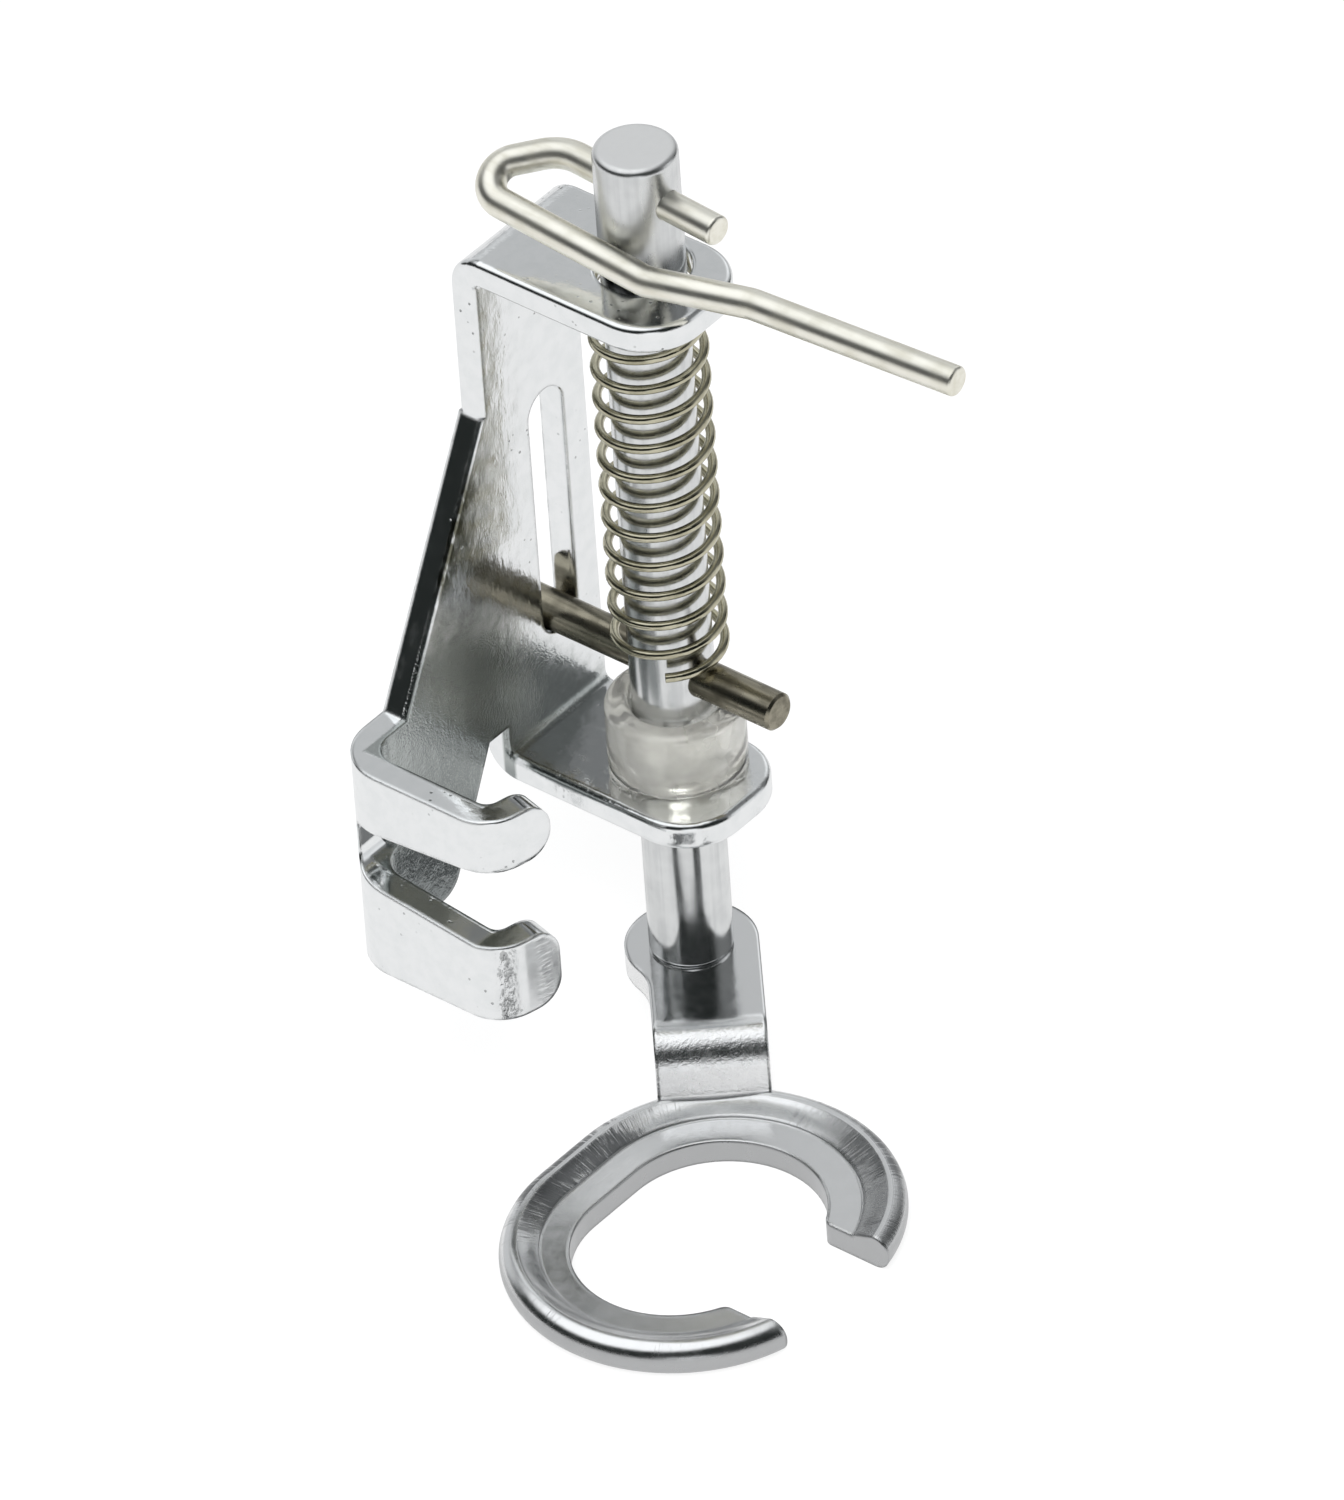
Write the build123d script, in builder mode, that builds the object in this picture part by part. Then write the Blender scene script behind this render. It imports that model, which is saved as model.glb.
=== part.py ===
"""Open-toe free-motion presser foot for a low-shank sewing machine.

A folded sheet bracket clamps on the presser bar and carries a sprung plunger. The plunger is a round rod
with a cross pin, a bent wire arm that the needle clamp lifts, and an open toe that holds the cloth down.
Origin: presser-bar axis at the height of the clamp screw. +Z is up, -Y is the operator's side.
"""

import os
from math import cos, radians, sin, tan

from build123d import *

# Presser bar and the clamp that wraps it
bar_dia = 7.5
bar_clearance = 0.1
screw_to_sole = 19.0
clamp_top = 5.8
clamp_bottom = 7.3
clamp_bend_inside = 1.5
slot_rear_up = 1.8
slot_rear_down = 1.5
slot_front_up = 2.5
slot_front_down = 2.55
screw_slot_corner = 1.2
slot_into_bend = 0.7
tip_flare = 14.0
tip_end = -1.25
tip_round = 1.55

# Folded sheet
sheet = 1.6
ear_bend_inside = 0.4
prong_bend_inside = 0.8
edge_round = 0.35

# Plunger axis and the C-shaped guide around it
rod_x = 11.9
rod_y = -3.6
rod_dia = 4.5
rod_fit = 0.06
ear_hole_gap = 0.33
guide_left = 4.9
guide_right = 3.4
upper_ear_reach = 4.9
lower_ear_reach = 5.2
ear_corner = 3.3
upper_ear_top = 31.0
lower_ear_top = -1.5

# Plate between guide and clamp
shoulder_height = 20.7
lobe_start = -0.7
lobe_foot = 2.0
lobe_corner = 1.6
relief_above_ear = 1.8
relief_width = 1.4

# Cross pin and its guide slot
pin_dia = 2.1
pin_above_ear = 6.35
pin_front = 7.2
pin_tail = 1.0
pin_chamfer = 0.15
slot_gap = 0.35
pin_rest_gap = 0.05
slot_length = 15.85

# Bumper sleeve
bumper_dia = 7.4
bumper_height = 4.2
bumper_fit = 0.08
bumper_round = 0.45

# Return spring
spring_dia = 6.26
spring_wire = 0.52
spring_turns = 11.6
spring_phase = 255.0

# Plunger rod ends
rod_above_ear = 7.6
rod_round = 0.4
rod_foot_round = 0.25
tenon_dia = 3.0
rivet_dia = 4.2
rivet_height = 0.6

# Wire arm, places measured from the rod axis
wire_dia = 1.65
wire_end_round = 0.2
wire_hole_bend = 3.0
wire_loop_bend = 1.33
wire_jog_bend = 1.6
wire_hole_drop = 2.7
wire_hole_reach = 5.25
wire_rod_gap = 0.1
wire_skew = 4.3
wire_end = 5.7
wire_loop_reach = 10.2
wire_loop_drop = 1.43
wire_leg_drop = 2.7
wire_jog_start = 2.9
wire_jog_end = 8.6
wire_jog = 1.65
wire_reach = 21.3
wire_toe_in = 4.0

# Toe ring, widths measured from its inner edge
ring_x = -2.75
ring_y = -15.6
ring_straight = 3.6
ring_inner_radius = 5.6
ring_mouth = 8.2
land_width = 1.75
land_shift = 0.2
land_height = 1.38
land_step = 0.12
rim_width = 3.95
rim_shift = 0.38
rim_height = 1.95
rim_round = 0.9
rim_flat = 0.1
mouth_corner = 0.6

# Tab that carries the ring
tab_angle = 222.0
tab_thickness = 1.4
tab_drop = 12.3
tab_round = 3.55
tab_width = 6.0
tab_neck = 3.0
tab_flat = 6.3
tab_slope = 74.0
tab_bend = 1.7

# Shared places
plate_front = bar_dia / 2 + bar_clearance
plate_mid = plate_front + sheet / 2
plate_back = plate_front + sheet
wall_mid = -bar_dia / 2 - sheet / 2
wall_outer = -bar_dia / 2 - sheet
ear_bend_mid = ear_bend_inside + sheet / 2
prong_bend_mid = prong_bend_inside + sheet / 2
clamp_bend_mid = clamp_bend_inside + sheet / 2
guide_x = rod_x - guide_left
guide_width = guide_left + guide_right
rod_radius = rod_dia / 2
pin_radius = pin_dia / 2
sole = -screw_to_sole
tab_top = lower_ear_top - tab_drop
tab_bottom = tab_top - tab_thickness
rod_axis = Axis((rod_x, rod_y, 0), (0, 0, 1))
rod_plane = Plane((rod_x, rod_y, 0), x_dir=(1, 0, 0), z_dir=(0, -1, 0))
relief_top = lower_ear_top + relief_above_ear
pin_height = lower_ear_top + pin_above_ear
rod_top = upper_ear_top + rod_above_ear
tip_run = tip_end - wall_mid
tip_front = -plate_mid - tip_run * tan(radians(tip_flare))
slot_rear = plate_front + slot_into_bend
ring_width = 2 * ring_inner_radius
ring_length = ring_width + ring_straight
crest_width = rim_width - rim_round - rim_flat
sole_round = rim_height - rim_round - rim_flat
slot_bottom = pin_height - pin_radius - pin_rest_gap
tab_offset = tab_round - tab_width / 2
spring_seat = pin_height + pin_radius
spring_length = upper_ear_top - sheet - spring_seat
wire_height = rod_top - wire_hole_drop
wire_side = rod_radius + wire_rod_gap + wire_dia / 2
wire_dir = Vector(sin(radians(wire_skew)), cos(radians(wire_skew)), 0)
tab_dir = Vector(cos(radians(tab_angle)), sin(radians(tab_angle)), 0)
tab_side = Vector(sin(radians(tab_angle)), -cos(radians(tab_angle)), 0)
step_drop = tab_top - tab_thickness / 2 - sole - land_height / 2
step_corner = tab_flat + tab_bend * tan(radians(tab_slope / 2))
step_foot = step_corner + step_drop / tan(radians(tab_slope))

os.makedirs("parts", exist_ok=True)

# Bracket: one folded sheet
with BuildPart() as bracket:
    # C-shaped guide, bent over at the top and the bottom
    with BuildSketch(Plane.YZ.offset(guide_x)):
        with BuildLine() as fold:
            FilletPolyline(
                (rod_y - upper_ear_reach, upper_ear_top - sheet / 2),
                (plate_mid, upper_ear_top - sheet / 2),
                (plate_mid, lower_ear_top - sheet / 2),
                (rod_y - lower_ear_reach, lower_ear_top - sheet / 2),
                radius=ear_bend_mid,
            )
        trace(fold.line, line_width=sheet)
    extrude(amount=guide_width)
    fillet(bracket.edges().filter_by(Axis.Z).sort_by(Axis.Y)[:4], radius=ear_corner)
    fillet(bracket.edges().filter_by(Axis.X).sort_by(Axis.Y)[:4], radius=edge_round)

    # Plate that reaches from the guide down to the clamp
    with BuildSketch(Plane.XZ.offset(-plate_front)):
        with BuildLine():
            Polyline(
                (guide_x + sheet, shoulder_height),
                (guide_x, shoulder_height),
                (lobe_start, clamp_top),
                (lobe_start, -clamp_bottom),
                (lobe_foot, -clamp_bottom),
                (guide_x - relief_width, relief_top),
                (guide_x + sheet, relief_top),
                close=True,
            )
        lobe = make_face()
        fillet(lobe.vertices().sort_by(Axis.X)[2], radius=lobe_corner)
    extrude(amount=-sheet)

    # Clamp wall and its two prongs, wrapped round the presser bar
    with BuildSketch(Plane.XY.offset(-clamp_bottom)):
        with BuildLine() as wrap:
            FilletPolyline(
                (lobe_start, plate_mid),
                (wall_mid, plate_mid),
                (wall_mid, -plate_mid),
                (tip_end, tip_front),
                radius=(clamp_bend_mid, prong_bend_mid),
            )
        trace(wrap.line, line_width=sheet)
    extrude(amount=clamp_top + clamp_bottom)

    # Screw slot, open to the front and tapered so that the foot slips past the screw
    with BuildSketch(Plane.YZ.offset(wall_outer)):
        with BuildLine():
            Polyline(
                (slot_rear, slot_rear_up),
                (-plate_front, slot_front_up),
                (2 * tip_front, slot_front_up),
                (2 * tip_front, -slot_front_down),
                (-plate_front, -slot_front_down),
                (slot_rear, -slot_rear_down),
                close=True,
            )
        screw_slot = make_face()
        fillet(screw_slot.vertices().sort_by(Axis.X)[-2:], radius=screw_slot_corner)
    extrude(amount=sheet + clamp_bend_inside, mode=Mode.SUBTRACT)
    with BuildSketch(Plane.XZ.offset(plate_front)):
        with BuildLine():
            Polyline(
                (wall_outer, slot_front_up),
                (tip_end + sheet, slot_front_up),
                (tip_end + sheet, -slot_front_down),
                (wall_outer, -slot_front_down),
                close=True,
            )
        make_face()
    extrude(amount=-2 * tip_front, mode=Mode.SUBTRACT)

    # Rounded ends of the two prongs
    tip_edges = bracket.edges().filter_by_position(Axis.X, tip_end - edge_round, tip_end + edge_round)
    tip_edges = tip_edges.filter_by_position(Axis.Y, tip_front - edge_round, tip_front + edge_round)
    fillet(tip_edges, radius=tip_round)

    # Rod holes in the ears, the lower one a running fit
    with Locations((rod_x, rod_y, upper_ear_top)):
        Hole(radius=rod_radius + ear_hole_gap, depth=2 * sheet)
    with Locations((rod_x, rod_y, lower_ear_top)):
        Hole(radius=rod_radius + rod_fit, depth=2 * sheet)

    # Upright slot that keeps the pin, and so the toe, from turning
    with BuildSketch(Plane.XZ.offset(-plate_front)):
        with Locations((rod_x, slot_bottom + slot_length / 2)):
            SlotOverall(slot_length, pin_dia + 2 * slot_gap, rotation=90)
    extrude(amount=-sheet, mode=Mode.SUBTRACT)
bracket.part.label = "bracket"
export_step(bracket.part, "parts/bracket.step")

# Bumper: clear sleeve that stands on the lower ear
with BuildPart() as bumper:
    with BuildSketch(Plane.XY.offset(lower_ear_top)):
        with Locations((rod_x, rod_y)):
            Circle(bumper_dia / 2)
            Circle(rod_radius + bumper_fit, mode=Mode.SUBTRACT)
    extrude(amount=bumper_height)
    fillet(bumper.edges().filter_by(GeomType.CIRCLE), radius=bumper_round)
bumper.part.label = "bumper"
export_step(bumper.part, "parts/bumper.step")

# Return spring, between the cross pin and the upper ear
with BuildPart() as return_spring:
    spring_foot = Plane((rod_x, rod_y, spring_seat + spring_wire / 2)).rotated((0, 0, spring_phase))
    with BuildLine(spring_foot) as coil:
        Helix(
            pitch=(spring_length - spring_wire) / spring_turns,
            height=spring_length - spring_wire,
            radius=(spring_dia - spring_wire) / 2,
        )
    with BuildSketch(Plane(origin=coil.line @ 0, z_dir=coil.line % 0)):
        Circle(spring_wire / 2)
    sweep(is_frenet=True)
return_spring.part.label = "return_spring"
export_step(return_spring.part, "parts/return_spring.step")

# Plunger rod, turned, with a tenon riveted under the tab
with BuildPart() as plunger_rod:
    with BuildSketch(rod_plane):
        with BuildLine():
            Polyline(
                (0, tab_bottom - rivet_height),
                (tenon_dia / 2, tab_bottom - rivet_height),
                (rivet_dia / 2, tab_bottom),
                (tenon_dia / 2, tab_bottom),
                (tenon_dia / 2, tab_top),
                (rod_radius, tab_top),
                (rod_radius, rod_top),
                (0, rod_top),
                close=True,
            )
        make_face()
    revolve(axis=rod_axis)
    fillet(plunger_rod.edges().group_by(Axis.Z)[-1], radius=rod_round)
    foot_span = (tab_top - rod_foot_round, tab_top + rod_foot_round)
    foot_edges = plunger_rod.edges().filter_by_position(Axis.Z, *foot_span)
    fillet(foot_edges.sort_by(SortBy.LENGTH)[-1], radius=rod_foot_round)
    with BuildSketch(rod_plane):
        with Locations((0, pin_height)):
            Circle(pin_radius)
    extrude(amount=rod_dia, both=True, mode=Mode.SUBTRACT)
    with BuildSketch(Plane(origin=(rod_x, rod_y, wire_height), z_dir=wire_dir)):
        Circle(wire_dia / 2)
    extrude(amount=rod_dia, both=True, mode=Mode.SUBTRACT)
plunger_rod.part.label = "plunger_rod"
export_step(plunger_rod.part, "parts/plunger_rod.step")

# Cross pin, pressed through the rod, its tail in the guide slot
with BuildPart() as cross_pin:
    with BuildSketch(Plane.XZ.offset(-plate_back - pin_tail)):
        with Locations((rod_x, pin_height)):
            Circle(pin_radius)
    extrude(amount=plate_back + pin_tail - rod_y + pin_front)
    chamfer(cross_pin.edges().filter_by(GeomType.CIRCLE), length=pin_chamfer)
cross_pin.part.label = "cross_pin"
export_step(cross_pin.part, "parts/cross_pin.step")

# Wire arm: through the rod, round a hairpin behind it, back past its side and out to the front
with BuildPart() as wire_arm:
    with BuildLine() as route:
        FilletPolyline(
            Vector(rod_x, rod_y, wire_height) - wire_dir * wire_end,
            Vector(rod_x, rod_y, wire_height) + wire_dir * wire_hole_reach,
            Vector(rod_x - wire_side, rod_y + wire_loop_reach, wire_height - wire_loop_drop),
            Vector(rod_x - wire_side, rod_y - wire_jog_start, wire_height - wire_leg_drop),
            Vector(rod_x - wire_side + wire_jog, rod_y - wire_jog_end, wire_height - wire_leg_drop),
            Vector(
                rod_x - wire_side + wire_jog + (wire_reach - wire_jog_end) * tan(radians(wire_toe_in)),
                rod_y - wire_reach,
                wire_height - wire_leg_drop,
            ),
            radius=(wire_hole_bend, wire_loop_bend, wire_jog_bend, wire_jog_bend),
        )
    with BuildSketch(Plane(origin=route.line @ 0, z_dir=route.line % 0)):
        Circle(wire_dia / 2)
    sweep()
    fillet(wire_arm.faces().filter_by(GeomType.PLANE).edges(), radius=wire_end_round)
wire_arm.part.label = "wire_arm"
export_step(wire_arm.part, "parts/wire_arm.step")

# Open toe: ring with a mouth at the front, and the stepped tab that is riveted to the rod
with BuildPart() as open_toe:
    # Ring body, its sole rounded up all the way round like a ski
    with BuildSketch(Plane.XY.offset(sole)):
        with Locations((ring_x + rim_shift, ring_y)):
            SlotOverall(ring_length + 2 * rim_width, ring_width + 2 * rim_width)
    extrude(amount=rim_height)
    fillet(open_toe.edges().group_by(Axis.Z)[-1], radius=rim_round)
    fillet(open_toe.edges().group_by(Axis.Z)[0], radius=sole_round)

    # Shallow dish from the rim in to the flat land
    with BuildSketch(Plane.XY.offset(sole + land_height + land_step)):
        with Locations((ring_x + land_shift, ring_y)):
            SlotOverall(ring_length + 2 * land_width, ring_width + 2 * land_width)
    with BuildSketch(Plane.XY.offset(sole + rim_height)):
        with Locations((ring_x + rim_shift, ring_y)):
            SlotOverall(ring_length + 2 * crest_width, ring_width + 2 * crest_width)
    loft(ruled=True, mode=Mode.SUBTRACT)
    with BuildSketch(Plane.XY.offset(sole + land_height)):
        with Locations((ring_x + land_shift, ring_y)):
            SlotOverall(ring_length + 2 * land_width, ring_width + 2 * land_width)
    extrude(amount=rim_height, mode=Mode.SUBTRACT)

    # Opening round the needle, and the mouth that lets the operator see the stitches
    with BuildSketch(Plane.XY.offset(sole)) as opening:
        with Locations((ring_x, ring_y)):
            SlotOverall(ring_length, ring_width)
            Rectangle(ring_mouth, ring_length + 2 * rim_width, align=(Align.CENTER, Align.MAX))
        fillet(opening.vertices().sort_by(Axis.Y)[2:4], radius=mouth_corner)
    extrude(amount=2 * rim_height, mode=Mode.SUBTRACT)

    # Flat end of the tab, round where the rod stands on it
    with BuildSketch(Plane((rod_x, rod_y, tab_bottom), x_dir=tab_dir)) as tab_plan:
        Circle(tab_round)
        with Locations((0, tab_offset)):
            Rectangle(tab_flat, tab_width, align=(Align.MIN, Align.CENTER))
        fillet(tab_plan.vertices().sort_by(Axis.Y)[:2].sort_by(Axis.X)[0], radius=tab_neck)
    extrude(amount=tab_thickness)

    # Step down into the ring
    with BuildSketch(Plane(Vector(rod_x, rod_y, 0) - tab_side * tab_offset, x_dir=tab_dir, z_dir=tab_side)):
        with BuildLine() as step:
            FilletPolyline(
                (tab_flat / 2, tab_top - tab_thickness / 2),
                (step_corner, tab_top - tab_thickness / 2),
                (step_foot, tab_top - tab_thickness / 2 - step_drop),
                radius=tab_bend,
            )
        trace(step.line, line_width=tab_thickness)
    extrude(amount=tab_width / 2, both=True)
    with Locations((rod_x, rod_y, tab_top)):
        Hole(radius=tenon_dia / 2, depth=2 * tab_thickness)
open_toe.part.label = "open_toe"
export_step(open_toe.part, "parts/open_toe.step")
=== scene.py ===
"""Looks of an open-toe presser foot: plated bracket and toe, steel plunger, coil spring, clear bumper."""

import math

import bpy
from mathutils import Matrix, Vector


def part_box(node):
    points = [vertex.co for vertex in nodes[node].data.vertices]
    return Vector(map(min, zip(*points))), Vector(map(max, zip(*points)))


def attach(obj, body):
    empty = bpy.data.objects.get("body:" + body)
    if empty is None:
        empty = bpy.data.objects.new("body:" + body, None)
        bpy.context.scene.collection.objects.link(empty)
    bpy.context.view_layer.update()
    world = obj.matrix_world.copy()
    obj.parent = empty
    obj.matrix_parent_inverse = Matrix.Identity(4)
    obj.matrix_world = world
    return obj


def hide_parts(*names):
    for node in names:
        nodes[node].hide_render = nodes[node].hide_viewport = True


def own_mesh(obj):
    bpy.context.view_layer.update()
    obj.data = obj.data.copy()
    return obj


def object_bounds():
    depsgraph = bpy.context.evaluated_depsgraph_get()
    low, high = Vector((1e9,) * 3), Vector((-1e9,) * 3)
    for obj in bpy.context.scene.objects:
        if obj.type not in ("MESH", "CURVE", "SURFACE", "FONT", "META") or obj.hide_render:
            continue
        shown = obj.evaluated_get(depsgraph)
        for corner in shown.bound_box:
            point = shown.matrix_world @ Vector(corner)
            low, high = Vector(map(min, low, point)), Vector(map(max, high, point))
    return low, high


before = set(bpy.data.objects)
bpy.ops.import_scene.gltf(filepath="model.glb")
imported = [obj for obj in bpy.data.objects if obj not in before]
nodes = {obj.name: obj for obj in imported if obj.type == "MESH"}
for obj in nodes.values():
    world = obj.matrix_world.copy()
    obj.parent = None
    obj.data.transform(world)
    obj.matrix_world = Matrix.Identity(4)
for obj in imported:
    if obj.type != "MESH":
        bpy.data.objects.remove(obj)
cad_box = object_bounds()

MM = 0.001


def mm(*values):
    return tuple(value * MM for value in values)


def rgb(*values):
    return (*values, 1.0)


# Camera, matched to the photograph
VIEW_AZIMUTH = math.radians(-48.55)
VIEW_ELEVATION = math.radians(38.5)
VIEW_ROLL = math.radians(4.12)
VIEW_TARGET = Vector((12.65, -2.53, -1.90)) * MM
VIEW_DISTANCE = 1262.3 * MM
SENSOR = 36.0
LENS = 579.9
CLIP_START = 0.1
CLIP_END = 20.0

# Places taken from the frame
rod_low, rod_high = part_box("plunger_rod")
spring_low, spring_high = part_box("return_spring")
bracket_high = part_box("bracket")[1]
ROD_X = (rod_low.x + rod_high.x) / 2
ROD_Y = (rod_low.y + rod_high.y) / 2

# Rounding of edges, as the light sees it
EDGE = 0.35 * MM
DRAWN_EDGE = 0.08 * MM
BUMPER_EDGE = 0.15 * MM

# Places of marks: two values with a soft limit are a band, others say where a mark starts and is full

# Faces that look into the clamp, and the lower part of them
INSIDE_Y = mm(-3.9, 4.2)
INSIDE_SOFT = 0.1 * MM
WALL_INNER_X = mm(-4.0, -3.7)
PAST_PRONGS_X = mm(0.4, 0.1)
PLATE_FRONT_Y = mm(3.3, 3.6)
DEEP_Z = mm(-1.5, -3.0)

# Painted shade low on those faces, with an uneven upper limit, lower to the right
LOW_SHADE_Z = mm(14.0, 10.5)
LOW_SHADE_UNEVEN = 5 * MM
LOW_SHADE_FALL_X = 4 * MM

# Lower ear, which is scuffed
LOWER_EAR_X = mm(0.8, 1.2)
LOWER_EAR_Z = mm(-1.0, -1.3)

# Scarred end of the lower prong: a band round its bend and hatching on its tip
SCAR_Y = -4.5 * MM
SCAR_Z = -2.55 * MM
SCAR_FADE = 0.3 * MM
BEND_SCAR_X = mm(-4.9, -4.1)
TIP_SCAR_X = mm(-2.9, -2.0)
SCAR_SOFT = 0.2 * MM

# Slanted edge of the plate, from its shoulder down to the clamp, and the painted dark reflection beside it
SHOULDER_X = ROD_X - 4.9 * MM
SHOULDER_Z = 20.7 * MM
SLANT = 0.476
EDGE_REFLECTION_WIDTH = 2.0 * MM
EDGE_REFLECTION_Z = mm(11.5, 18.0)
EDGE_REFLECTION_SOFT = 1.2 * MM

# Chipped left edge of the plate under the upper ear
CHIPPED_WIDTH = 0.9 * MM
CHIPPED_Z = mm(26.0, 28.7)
CHIPPED_SOFT = 0.3 * MM

# Toe ring: half circles with a straight stretch between them, and its dish as a distance from its spine
RING_CENTRE = Vector((-2.37, -15.6, -17.1)) * MM
RING_STRAIGHT = 3.6 * MM
DISH = mm(7.35, 8.55)

# Places on the toe, measured from the ring's centre
RING_TOP_Z = mm(0.15, 0.0)
STEP_Z = mm(0.1, 0.5)
REAR_X = mm(-5.0, 4.0)
REAR_SOFT = 1.5 * MM
REAR_Y = mm(4.5, 7.5)
RIGHT_END = mm(9.0, 11.8)

# Satin stretch of drawn metal: the height over which it sets in, and a height above all pieces, for none
SATIN_FADE = 2 * MM
NO_SATIN = 1.0

# Return spring
SPRING_WIRE = 0.52 * MM
SPRING_RADIUS = (spring_high.x - spring_low.x) / 2 - SPRING_WIRE / 2
SPRING_TURNS = 12.1
SPRING_START = math.radians(214.0)
SPRING_CLOSED = 0.42
SPRING_STEPS = 44
SPRING_ROUNDNESS = 4

# Floor and key light, in metres and watts
FLOOR_HALF = 3.0
FLOOR_GAP = 0.02 * MM
KEY_PLACE = (-0.45, -0.35, 0.75)
KEY_SIZE = 0.5
KEY_POWER = 6.0

# Soft lights that the metal mirrors: direction, angles in degrees where each is full and gone, strength
SOFT_LIGHTS = {
    "ceiling": ((-0.12, 0.23, 0.965), 25, 45, 1.15),
    "wall": ((0.70, 0.42, 0.58), 12, 30, 0.53),
    "window": ((0.60, -0.75, 0.15), 8, 24, 0.7),
    "side": ((0.92, 0.17, 0.34), 8, 24, 0.50),
    "right back": ((0.66, 0.74, 0.15), 8, 22, 0.45),
    "front": ((0.60, -0.50, 0.60), 10, 35, 0.19),
    "low left": ((-0.74, -0.66, 0.03), 7, 20, 1.05),
    "back": ((0.20, 0.93, 0.25), 10, 28, 0.6),
}
SOFT_LIGHT_COLOUR = rgb(0.97, 0.985, 1.0)
ROOM_COLOUR = rgb(0.86, 1.0, 0.97)
ROOM_LIGHT = 0.022
WHITE = rgb(1, 1, 1)


def link(obj):
    bpy.context.scene.collection.objects.link(obj)
    return obj


class Shader:
    """Short way to write a node tree: each call adds a node, or a chain of them, and returns an output."""

    def __init__(self, tree):
        self.tree = tree
        tree.nodes.clear()

    def add(self, kind, out=0, settings=None, **inputs):
        node = self.tree.nodes.new(kind)
        for key, value in (settings or {}).items():
            setattr(node, key, value)
        for key, value in inputs.items():
            number = key[1:]
            socket = node.inputs[int(number) if number.isdigit() else key.replace("_", " ")]
            if isinstance(value, bpy.types.NodeSocket):
                self.tree.links.new(value, socket)
            else:
                socket.default_value = value
        return node.outputs[out] if node.outputs else node

    def math(self, operation, a, b=0.0):
        return self.add("ShaderNodeMath", settings={"operation": operation}, i0=a, i1=b)

    def times(self, value, *others):
        for other in others:
            value = self.math("MULTIPLY", value, other)
        return value

    def plus(self, value, *others):
        for other in others:
            value = self.math("ADD", value, other)
        return value

    def minus(self, a, b):
        return self.math("SUBTRACT", a, b)

    def larger(self, a, b):
        return self.math("MAXIMUM", a, b)

    def vector(self, operation, a, b=(0, 0, 0), out=0):
        return self.add("ShaderNodeVectorMath", out=out, settings={"operation": operation}, i0=a, i1=b)

    def join(self, x, y):
        return self.add("ShaderNodeCombineXYZ", X=x, Y=y, Z=0.0)

    def axes(self, vector):
        return [self.add("ShaderNodeSeparateXYZ", out=axis, Vector=vector) for axis in "XYZ"]

    def place(self):
        return self.add("ShaderNodeTexCoord", out="Object")

    def facing_up(self):
        return self.axes(self.add("ShaderNodeNewGeometry", out="True Normal"))[2]

    def stretch(self, vector, scale):
        return self.add("ShaderNodeMapping", Vector=vector, Scale=scale)

    def noise(self, vector, scale, detail=3.0, roughness=0.5):
        return self.add("ShaderNodeTexNoise", Vector=vector, Scale=scale, Detail=detail, Roughness=roughness)

    def dots(self, vector, scale):
        return self.add("ShaderNodeTexVoronoi", Vector=vector, Scale=scale)

    def ramp(self, value, low, high, to_low=0.0, to_high=1.0):
        return self.add(
            "ShaderNodeMapRange", settings={"interpolation_type": "SMOOTHSTEP"},
            Value=value, From_Min=low, From_Max=high, To_Min=to_low, To_Max=to_high,
        )

    def ramp_linear(self, value, low, high):
        return self.add("ShaderNodeMapRange", Value=value, From_Min=low, From_Max=high)

    def band(self, value, low, high, soft):
        rise = self.ramp(value, low - soft, low + soft)
        fall = self.ramp(value, high + soft, high - soft)
        return self.times(rise, fall)

    def mix(self, factor, a, b):
        return self.add("ShaderNodeMix", out=2, settings={"data_type": "RGBA"}, i0=factor, i6=a, i7=b)

    def bevel(self, radius):
        return self.add("ShaderNodeBevel", settings={"samples": 8}, Radius=radius)

    def bump(self, height, strength, distance, normal):
        return self.add("ShaderNodeBump", Height=height, Strength=strength, Distance=distance, Normal=normal)

    def ray(self, kind):
        return self.add("ShaderNodeLightPath", out=f"Is {kind} Ray")

    def surface(self, shader):
        self.add("ShaderNodeOutputMaterial", Surface=shader)

    def metal(self, colour, roughness, normal):
        self.surface(self.add(
            "ShaderNodeBsdfPrincipled", Base_Color=colour, Metallic=1.0, Roughness=roughness, Normal=normal,
        ))


def new_material(name):
    material = bpy.data.materials.new(name)
    material.use_nodes = True
    return material, Shader(material.node_tree)


def clamp_inside(s, x, y):
    """The clamp's inner faces and the plate's front face."""
    between = s.band(y, *INSIDE_Y, INSIDE_SOFT)
    hollow = s.larger(s.ramp(x, *PAST_PRONGS_X), s.ramp(y, *PLATE_FRONT_Y))
    return s.times(between, hollow, s.ramp(x, *WALL_INNER_X))


def sheet_pits(s, place, x, z):
    """Pits in clusters, and all along the chipped edge."""
    cluster = s.ramp(s.noise(place, 210.0, 2.0), 0.50, 0.66)
    left_edge = s.ramp(x, SHOULDER_X + CHIPPED_WIDTH, SHOULDER_X + CHIPPED_WIDTH / 2)
    chipped = s.times(left_edge, s.band(z, *CHIPPED_Z, CHIPPED_SOFT))
    return s.times(s.ramp(s.dots(place, 1700.0), 0.17, 0.09), s.larger(cluster, chipped))


def prong_scars(s, place, x, tip):
    """Struck marks round the lower prong's bend and rubbed ones on its tip."""
    chips = s.minus(s.noise(s.stretch(place, (2400, 2400, 1500)), 1.0, 3.0, 0.6), 0.5)
    hatch = s.minus(s.noise(s.stretch(place, (900, 900, 3600)), 1.0, 2.0, 0.5), 0.5)
    struck = s.times(chips, s.band(x, *BEND_SCAR_X, SCAR_SOFT))
    rubbed = s.times(hatch, 0.3, s.band(x, *TIP_SCAR_X, SCAR_SOFT))
    return s.times(s.plus(struck, rubbed), tip)


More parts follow.
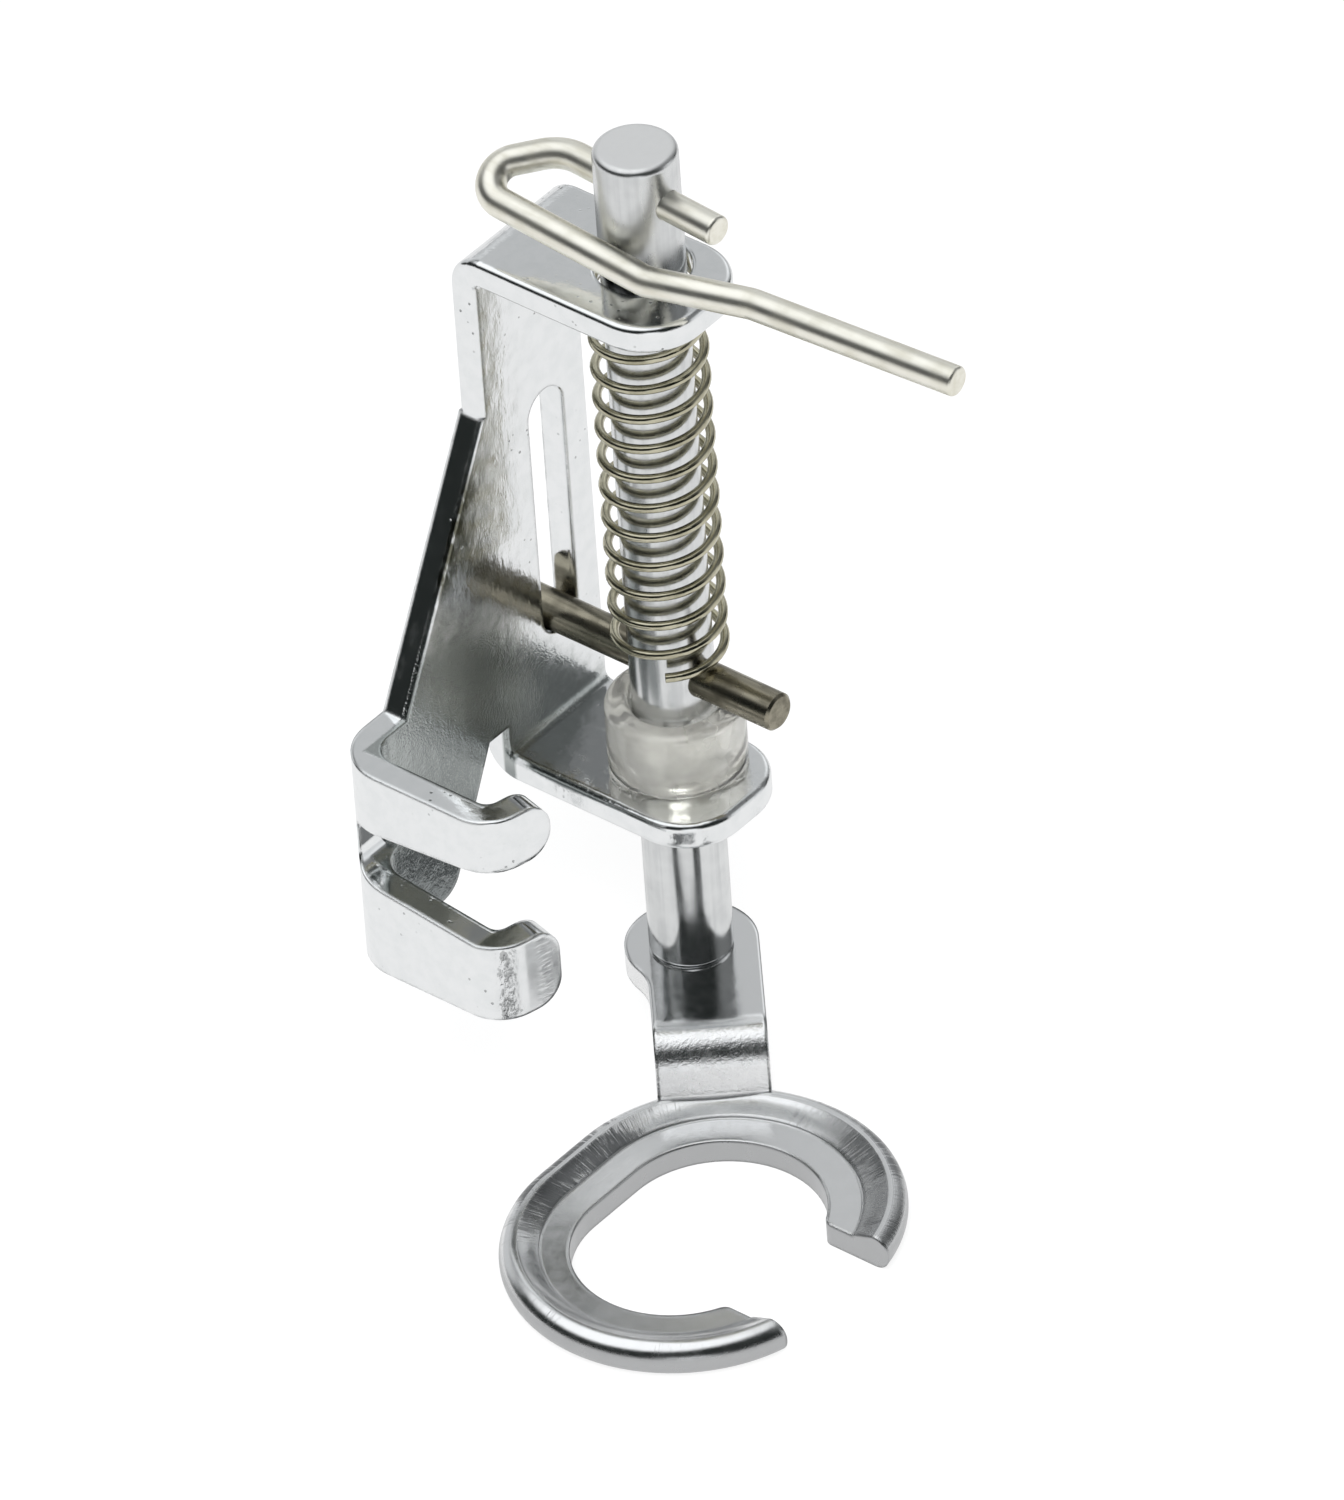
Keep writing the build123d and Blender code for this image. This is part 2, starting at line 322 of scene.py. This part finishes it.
def low_painted_shade(s, inside, cloud, x, z):
    """Painted shade low on the inner faces, up to an uneven height that falls to the right."""
    to_the_right = s.larger(s.minus(x, LOW_SHADE_FALL_X), 0.0)
    height = s.plus(z, s.times(cloud, LOW_SHADE_UNEVEN), to_the_right)
    return s.times(inside, s.ramp(height, *LOW_SHADE_Z))


def edge_painted_reflection(s, inside, smears, x, z):
    """Painted dark reflection, broken up, beside the plate's slanted edge."""
    edge_x = s.minus(SHOULDER_X, s.times(s.minus(SHOULDER_Z, z), SLANT))
    beside = s.ramp(s.minus(x, edge_x), EDGE_REFLECTION_WIDTH, 0.0)
    return s.times(beside, inside, s.band(z, *EDGE_REFLECTION_Z, EDGE_REFLECTION_SOFT), s.ramp(smears, 0.36, 0.58))


def plated_sheet():
    """Bright plating on stamped sheet: soft ripples, cloudy patches, pits, smeared relief, painted shade low
    inside the clamp, a painted dark reflection beside the slanted edge and a scarred prong.
    """
    material, s = new_material("plated_sheet")
    place = s.place()
    x, y, z = s.axes(place)
    ripple = s.noise(place, 420.0, 2.0)
    cloud = s.noise(place, 1100.0, 4.0, 0.6)
    grain = s.noise(place, 5200.0, 3.0)
    frost = s.noise(place, 9000.0, 1.0)
    smears = s.noise(s.stretch(place, (1500, 1500, 700)), 1.0, 3.0, 0.6)
    scuff = s.ramp(s.noise(s.stretch(place, (900, 900, 260)), 1.0, 5.0, 0.65), 0.52, 0.78)
    # Where the marks are
    inside = clamp_inside(s, x, y)
    deep = s.times(inside, s.ramp(z, *DEEP_Z))
    lower_ear = s.times(s.ramp(x, *LOWER_EAR_X), s.ramp(z, *LOWER_EAR_Z))
    tip = s.times(s.ramp(y, SCAR_Y, SCAR_Y - SCAR_FADE), s.ramp(z, SCAR_Z, SCAR_Z - SCAR_FADE))
    pits = sheet_pits(s, place, x, z)
    scars = prong_scars(s, place, x, tip)
    low_shade = low_painted_shade(s, inside, cloud, x, z)
    edge_reflection = edge_painted_reflection(s, inside, smears, x, z)
    # Colour, from the plating to the painted shade, the painted reflection and the damage
    colour = s.mix(s.ramp(cloud, 0.35, 0.70), rgb(0.89, 0.90, 0.905), rgb(0.85, 0.865, 0.87))
    # Painted shade: the inner faces are darkened low down, darkest deepest in the clamp
    shade_colour = s.mix(deep, rgb(0.44, 0.465, 0.455), rgb(0.27, 0.29, 0.29))
    colour = s.mix(low_shade, colour, shade_colour)
    # Painted reflection: a dark, broken smudge beside the slanted edge
    colour = s.mix(edge_reflection, colour, rgb(0.17, 0.17, 0.13))
    colour = s.mix(pits, colour, rgb(0.34, 0.35, 0.35))
    colour = s.mix(s.ramp(scars, 0.02, 0.09, 0.0, 0.6), colour, rgb(0.30, 0.31, 0.31))
    # Roughness
    rubs = s.times(scuff, s.ramp(lower_ear, 0.0, 1.0, 0.07, 0.30))
    worn = s.plus(rubs, s.times(inside, 0.07), s.times(tip, 0.14))
    roughness = s.plus(s.ramp(cloud, 0.3, 0.7, 0.05, 0.12), worn)
    # Fine relief
    smeared = s.plus(s.larger(inside, s.times(lower_ear, 0.8)), s.times(deep, 3.0))
    normal = s.bevel(EDGE)
    normal = s.bump(ripple, 0.25, 0.12 * MM, normal)
    normal = s.bump(s.times(smears, smeared), 0.25, 0.10 * MM, normal)
    normal = s.bump(grain, 0.14, 0.014 * MM, normal)
    normal = s.bump(s.times(frost, low_shade), 0.5, 0.03 * MM, normal)
    normal = s.bump(s.times(pits, -1.0), 0.6, 0.04 * MM, normal)
    normal = s.bump(scars, 0.7, 0.14 * MM, normal)
    s.metal(colour, roughness, normal)
    return material


def toe_streaks(s, out, x, y):
    """Grinding marks that run out from the ring's centre."""
    turn = s.times(s.math("ARCTAN2", y, x), 95.0)
    reach = s.times(s.vector("LENGTH", out, out="Value"), 600.0)
    return s.noise(s.join(turn, reach), 1.0, 5.0, 0.65)


def dish_hollow(s, x, y):
    """Slight hollow of the dish, deepest halfway between its rims."""
    past_straight = s.larger(s.minus(s.math("ABSOLUTE", x), RING_STRAIGHT / 2), 0.0)
    across = s.ramp_linear(s.vector("LENGTH", s.join(past_straight, y), out="Value"), *DISH)
    return s.times(across, s.minus(across, 1.0))


def plated_toe():
    """Plating over a ground toe: streaks across the dish, a grained step painted near-white as a painted
    highlight, rougher sheared walls painted darker as painted shade, and a painted darker reflection on the
    dish's right end.
    """
    material, s = new_material("plated_toe")
    place = s.place()
    out = s.vector("SUBTRACT", place, tuple(RING_CENTRE))
    x, y, z = s.axes(out)
    facing_up = s.facing_up()
    streaks = toe_streaks(s, out, x, y)
    patches = s.noise(place, 260.0, 3.0, 0.6)
    ripple = s.noise(place, 380.0, 2.0)
    cloud = s.noise(place, 1300.0, 4.0, 0.6)
    grain = s.noise(place, 5000.0, 3.0, 0.6)
    # Where the marks are
    wall = s.ramp(facing_up, 0.75, 0.25)
    on_ring = s.ramp(z, *RING_TOP_Z)
    dish = s.times(on_ring, s.ramp(facing_up, 0.992, 0.975), s.ramp(facing_up, 0.4, 0.6))
    rear = s.times(s.ramp(y, *REAR_Y), s.band(x, *REAR_X, REAR_SOFT))
    end = s.ramp(s.minus(x, y), *RIGHT_END)
    step = s.times(s.ramp(z, *STEP_Z), s.ramp(facing_up, 0.98, 0.85))
    ground = s.times(dish, s.larger(rear, s.times(end, 0.6)))
    worn = s.plus(streaks, patches, s.times(ground, 0.22))
    marks = s.times(s.ramp(worn, 1.10, 1.28), dish)
    dull_and_shaded = s.larger(marks, s.times(wall, on_ring))
    # Colour
    # Painted shade: the ring's walls, the faces that don't look up, are painted darker; the dish's wear
    # marks are dull and darker too
    colour = s.mix(dull_and_shaded, rgb(0.86, 0.865, 0.87), rgb(0.50, 0.505, 0.51))
    colour = s.mix(s.times(marks, ground), colour, rgb(0.20, 0.205, 0.21))
    # Painted reflection: the dish's right end is painted darker
    colour = s.mix(s.times(end, dish, 0.5), colour, rgb(0.22, 0.225, 0.23))
    # Painted highlight: the step is painted near-white so that it shines brighter
    colour = s.mix(step, colour, rgb(0.97, 0.972, 0.975))
    # Roughness
    satin = s.plus(s.times(on_ring, 0.08), s.times(step, 0.13), s.times(dull_and_shaded, 0.10))
    roughness = s.plus(s.ramp(cloud, 0.3, 0.7, 0.09, 0.16), satin)
    # Fine relief
    normal = s.bevel(EDGE)
    normal = s.bump(s.times(dish_hollow(s, x, y), dish), 1.0, 0.22 * MM, normal)
    normal = s.bump(ripple, 0.25, 0.12 * MM, normal)
    normal = s.bump(s.times(streaks, ground), 0.5, 0.08 * MM, normal)
    normal = s.bump(s.times(grain, s.ramp(step, 0.0, 1.0, 0.1, 1.0)), 0.4, 0.06 * MM, normal)
    s.metal(colour, roughness, normal)
    return material


def drawn_metal(name, colour, dark, roughness, along, wear=0.5, faced_end_highlight=0.0, satin_from=NO_SATIN):
    """Drawn or turned steel with fine lines along one direction and darker patches."""
    material, s = new_material(name)
    place = s.place()
    z = s.axes(place)[2]
    lines = s.noise(s.stretch(place, along), 1.0, 4.0, 0.6)
    patch = s.noise(place, 700.0, 3.0)
    shade = s.times(s.ramp(s.plus(lines, patch), 0.8, 1.35), wear)
    # Painted highlight: faces that look up are painted brighter and made rougher, as much as the caller asks
    faced_and_highlit = s.ramp(s.facing_up(), 0.6, 0.95, 0.0, faced_end_highlight)
    tint = s.mix(faced_and_highlit, s.mix(shade, colour, dark), rgb(0.93, 0.93, 0.925))
    satin = s.ramp(z, satin_from, satin_from + SATIN_FADE, 0.0, 0.12)
    rough = s.plus(s.times(s.plus(shade, faced_and_highlit), 0.18), roughness, satin)
    s.metal(tint, rough, s.bump(lines, 0.2, 0.015 * MM, s.bevel(DRAWN_EDGE)))
    return material


def satin_rod():
    """Polished rod, its faced top end painted brighter as a painted highlight, satin where it stands above
    the bracket.
    """
    return drawn_metal(
        "satin_rod", rgb(0.76, 0.77, 0.77), rgb(0.56, 0.57, 0.58), 0.15, (2600, 2600, 60),
        faced_end_highlight=0.9, satin_from=bracket_high.z,
    )


def dull_pin():
    """Dark, worn pin with its lines along y."""
    return drawn_metal(
        "dull_pin", rgb(0.34, 0.315, 0.245), rgb(0.12, 0.11, 0.08), 0.24, (1800, 120, 1800), wear=0.9,
    )


def nickel_wire():
    """Warm, softly shining wire with its lines along y."""
    return drawn_metal(
        "nickel_wire", rgb(0.97, 0.95, 0.86), rgb(0.74, 0.71, 0.58), 0.34, (2400, 90, 2400),
    )


def spring_steel():
    """Warm, bright spring wire, mottled alike in every direction."""
    return drawn_metal(
        "spring_steel", rgb(0.58, 0.55, 0.42), rgb(0.32, 0.30, 0.20), 0.13, (900, 900, 900), wear=0.7,
    )


def milky_plastic():
    """Clear sleeve with a warm milky body, cloudy inside and softly scuffed."""
    material, s = new_material("milky_plastic")
    place = s.place()
    haze = s.noise(place, 330.0, 3.0, 0.5)
    scuff = s.noise(place, 3000.0, 4.0)
    colour = s.mix(s.ramp(haze, 0.35, 0.65), rgb(0.98, 0.975, 0.93), rgb(0.93, 0.92, 0.87))
    roughness = s.ramp(haze, 0.3, 0.7, 0.06, 0.14)
    clearness = s.ramp(haze, 0.3, 0.7, 0.80, 0.58)
    normal = s.bump(scuff, 0.06, 0.01 * MM, s.bevel(BUMPER_EDGE))
    s.surface(s.add(
        "ShaderNodeBsdfPrincipled", Base_Color=colour, Roughness=roughness, IOR=1.40,
        Transmission_Weight=clearness, Normal=normal,
    ))
    return material


def dress(node, material):
    obj = nodes[node]
    obj.data.materials.clear()
    obj.data.materials.append(material)


def coil_mesh():
    """Round wire along a helix with an even pitch and a closed lowest turn."""
    low = spring_low.z + SPRING_WIRE / 2
    high = spring_high.z - SPRING_WIRE / 2
    count = int(SPRING_TURNS * SPRING_STEPS)
    rise = [1.0 - SPRING_CLOSED * max(0.0, 1.0 - i / SPRING_STEPS) for i in range(count)]
    step = (high - low) / sum(rise)
    curve = bpy.data.curves.new("spring_path", "CURVE")
    curve.dimensions = "3D"
    curve.bevel_depth = SPRING_WIRE / 2
    curve.bevel_resolution = SPRING_ROUNDNESS
    curve.use_fill_caps = True
    path = curve.splines.new("POLY")
    path.points.add(count)
    z = low
    for i, point in enumerate(path.points):
        angle = SPRING_START + 2 * math.pi * i / SPRING_STEPS
        x = ROD_X + SPRING_RADIUS * math.cos(angle)
        y = ROD_Y + SPRING_RADIUS * math.sin(angle)
        point.co = (x, y, z, 1.0)
        z += step * rise[min(i, count - 1)]
    holder = link(bpy.data.objects.new("spring_path", curve))
    mesh = bpy.data.meshes.new_from_object(holder.evaluated_get(bpy.context.evaluated_depsgraph_get()))
    bpy.data.objects.remove(holder)
    for polygon in mesh.polygons:
        polygon.use_smooth = True
    return mesh


def return_spring(material):
    """Coil that stands on the cross pin, up against the upper ear."""
    mesh = coil_mesh()
    mesh.materials.clear()
    mesh.materials.append(material)
    spring = link(bpy.data.objects.new("coil_spring", mesh))
    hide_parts("return_spring")
    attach(spring, "bracket")
    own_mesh(spring)


def floor():
    """Pale sweep under the toe: white to the camera, pale in metal and plastic, with the object's shadow."""
    mesh = bpy.data.meshes.new("floor")
    z = cad_box[0].z - FLOOR_GAP
    corners = [(-1, -1), (1, -1), (1, 1), (-1, 1)]
    mesh.from_pydata([(x * FLOOR_HALF, y * FLOOR_HALF, z) for x, y in corners], [], [(0, 1, 2, 3)])
    plane = link(bpy.data.objects.new("floor", mesh))
    material, s = new_material("pale_floor")
    camera_ray = s.ray("Camera")
    white = s.add("ShaderNodeEmission", Color=WHITE, Strength=0.82)
    pale = s.add("ShaderNodeEmission", Color=WHITE, Strength=0.62)
    glow = s.add("ShaderNodeMixShader", i0=camera_ray, i1=pale, i2=white)
    thin = s.add("ShaderNodeBsdfDiffuse", Color=rgb(0.28, 0.28, 0.28))
    seen = s.add("ShaderNodeAddShader", i0=glow, i1=thin)
    cloth = s.add("ShaderNodeBsdfDiffuse", Color=rgb(0.86, 0.86, 0.86))
    looked_at = s.larger(camera_ray, s.larger(s.ray("Glossy"), s.ray("Transmission")))
    s.surface(s.add("ShaderNodeMixShader", i0=looked_at, i1=cloth, i2=seen))
    mesh.materials.append(material)


def soft_light(s, way, direction, full, gone, strength):
    """Light from round one direction, which fades between two angles from it."""
    dot = s.vector("DOT_PRODUCT", way, tuple(Vector(direction).normalized()), out="Value")
    shape = s.ramp(dot, math.cos(math.radians(gone)), math.cos(math.radians(full)))
    return s.times(shape, strength)


def studio():
    """Soft lights overhead and around, with dark gaps between them that the bright metal mirrors."""
    world = bpy.data.worlds.new("studio")
    bpy.context.scene.world = world
    world.use_nodes = True
    s = Shader(world.node_tree)
    way = s.add("ShaderNodeTexCoord", out="Generated")
    light = s.plus(*[soft_light(s, way, *values) for values in SOFT_LIGHTS.values()])
    lights = s.add("ShaderNodeBackground", Color=SOFT_LIGHT_COLOUR, Strength=light)
    room = s.add("ShaderNodeBackground", Color=ROOM_COLOUR, Strength=ROOM_LIGHT)
    sky = s.add("ShaderNodeAddShader", i0=lights, i1=room)
    white = s.add("ShaderNodeBackground", Color=WHITE, Strength=1.0)
    looked_at = s.larger(s.ray("Camera"), s.ray("Transmission"))
    shown = s.add("ShaderNodeMixShader", i0=looked_at, i1=sky, i2=white)
    s.add("ShaderNodeOutputWorld", Surface=shown)


def key_light():
    """Lamp high on the camera's side, for the shadow on the floor; the metal doesn't mirror it."""
    lamp = bpy.data.lights.new("key_light", "AREA")
    lamp.shape = "SQUARE"
    lamp.size = KEY_SIZE
    lamp.energy = KEY_POWER
    holder = link(bpy.data.objects.new("key_light", lamp))
    holder.location = KEY_PLACE
    holder.visible_glossy = False
    holder.rotation_mode = "QUATERNION"
    holder.rotation_quaternion = (holder.location - VIEW_TARGET).to_track_quat("Z", "Y")


def camera():
    """Long lens that looks down on the foot from the front left, with the photograph's slight roll."""
    back = Vector((
        math.sin(VIEW_AZIMUTH) * math.cos(VIEW_ELEVATION),
        -math.cos(VIEW_AZIMUTH) * math.cos(VIEW_ELEVATION),
        math.sin(VIEW_ELEVATION),
    ))
    level = Vector((math.cos(VIEW_AZIMUTH), math.sin(VIEW_AZIMUTH), 0.0))
    upward = back.cross(level)
    right = math.cos(VIEW_ROLL) * level - math.sin(VIEW_ROLL) * upward
    up = math.sin(VIEW_ROLL) * level + math.cos(VIEW_ROLL) * upward
    lens = bpy.data.cameras.new("camera")
    lens.sensor_width = SENSOR
    lens.lens = LENS
    lens.clip_start = CLIP_START
    lens.clip_end = CLIP_END
    holder = link(bpy.data.objects.new("camera", lens))
    pose = Matrix((right, up, back)).transposed().to_4x4()
    pose.translation = VIEW_TARGET + back * VIEW_DISTANCE
    holder.matrix_world = pose
    bpy.context.scene.camera = holder


bpy.context.scene.view_settings.view_transform = "Standard"
dress("bracket", plated_sheet())
dress("open_toe", plated_toe())
dress("plunger_rod", satin_rod())
dress("cross_pin", dull_pin())
dress("wire_arm", nickel_wire())
dress("bumper", milky_plastic())
return_spring(spring_steel())
floor()
studio()
key_light()
camera()
